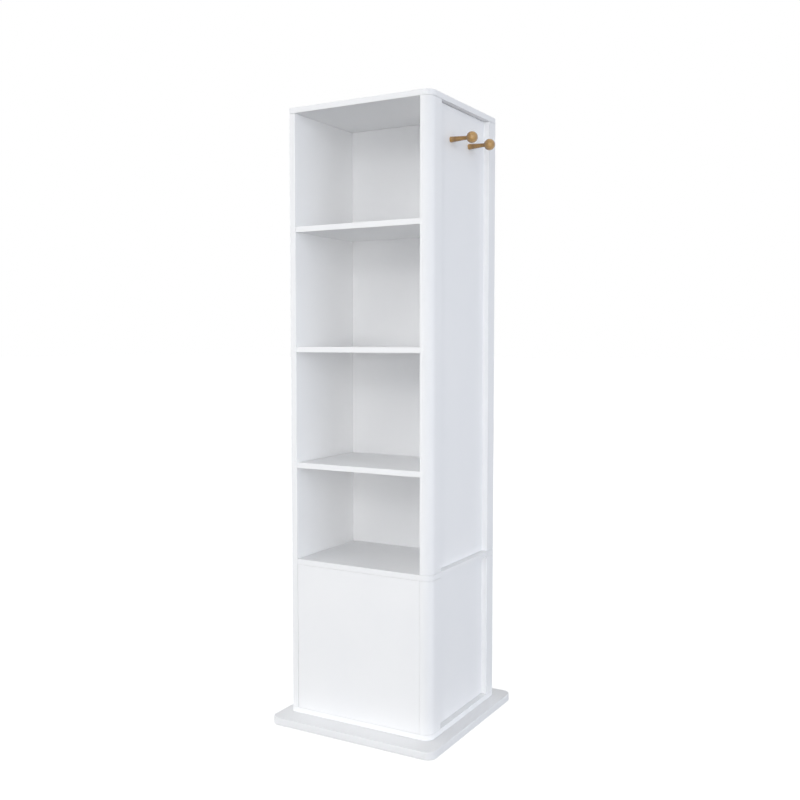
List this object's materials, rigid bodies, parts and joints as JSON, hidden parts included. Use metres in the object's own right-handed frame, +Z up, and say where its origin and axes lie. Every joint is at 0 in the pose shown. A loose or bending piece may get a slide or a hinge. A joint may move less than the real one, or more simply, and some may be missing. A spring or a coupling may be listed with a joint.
{
  "type": "revolving wardrobe cabinet",
  "caption": "Tall white cabinet tower that turns on a flat square base, with open bays, a cupboard at the foot and turned wooden coat pegs on both sides.",
  "frame": {"origin": "where the turning axis meets the floor, on the underside of the middle glide", "axes": "+Z up along the turning axis, -Y towards the open bays and the door, +X towards the side with the rounded post"},
  "size_m": [0.609, 0.54, 1.8],
  "materials": {
    "white_lacquer": "satin white lacquer on fibreboard",
    "turned_wood": "clear satin varnish on turned beech",
    "ring_aluminium": "plain drawn aluminium",
    "steel": "bright zinc-plated steel",
    "nylon": "matt moulded white nylon",
    "felt": "pressed grey felt",
    "mirror_glass": "silvered float glass"
  },
  "bodies": {
    "base": {"base_slab": "white_lacquer", "glide_centre": "felt", "glide_front_left": "felt", "glide_front_right": "felt", "glide_back_right": "felt", "glide_back_left": "felt", "turntable_outer_ring": "ring_aluminium"},
    "ball_cage": {"turntable_ball_cage": "steel"},
    "cabinet": {"turntable_inner_ring": "ring_aluminium", "bottom_panel": "white_lacquer", "middle_panel": "white_lacquer", "top_panel": "white_lacquer", "left_side": "white_lacquer", "lower_front_post": "white_lacquer", "upper_front_post": "white_lacquer", "lower_rear_post": "white_lacquer", "upper_rear_post": "white_lacquer", "lower_side_panel": "white_lacquer", "upper_side_panel": "white_lacquer", "back_panel": "white_lacquer", "mirror": "mirror_glass", "lower_rear_panel": "white_lacquer", "shelf_1": "white_lacquer", "shelf_2": "white_lacquer", "shelf_3": "white_lacquer", "shelf_1_pin_left_front": "steel", "shelf_1_pin_left_back": "steel", "shelf_1_pin_right_front": "steel", "shelf_1_pin_right_back": "steel", "shelf_2_pin_left_front": "steel", "shelf_2_pin_left_back": "steel", "shelf_2_pin_right_front": "steel", "shelf_2_pin_right_back": "steel", "shelf_3_pin_left_front": "steel", "shelf_3_pin_left_back": "steel", "shelf_3_pin_right_front": "steel", "shelf_3_pin_right_back": "steel", "peg_right_front": "turned_wood", "peg_right_back": "turned_wood", "peg_left_front": "turned_wood", "peg_left_back": "turned_wood", "door_bush_upper": "nylon", "door_bush_lower": "nylon", "latch_housing": "nylon"},
    "door": {"door_panel": "white_lacquer", "door_pin_upper": "steel", "door_pin_lower": "steel", "door_strike_plate": "steel"},
    "plunger": {"latch_plunger": "nylon"}
  },
  "joints": [
    {"name": "cabinet_turn", "type": "hinge", "parent": "base", "child": "cabinet", "pos_m": [0, 0, 0.02455], "axis": [0, 0, 1], "continuous": true},
    {"name": "cage_turn", "type": "hinge", "parent": "base", "child": "ball_cage", "pos_m": [0, 0, 0.02455], "axis": [0, 0, 1], "continuous": true},
    {"name": "door_swing", "type": "hinge", "parent": "cabinet", "child": "door", "pos_m": [-0.1915, -0.203, 0.2565], "axis": [0, 0, -1], "range_deg": [0, 110]},
    {"name": "latch_press", "type": "slide", "parent": "cabinet", "child": "plunger", "axis": [0, 1, 0], "range_m": [0, 0.003], "stiffness_N_per_m": 300, "springref_m": -0.006}
  ],
  "couplings": [
    {"joint": "cage_turn", "follows": "cabinet_turn", "ratio": 0.5}
  ]
}
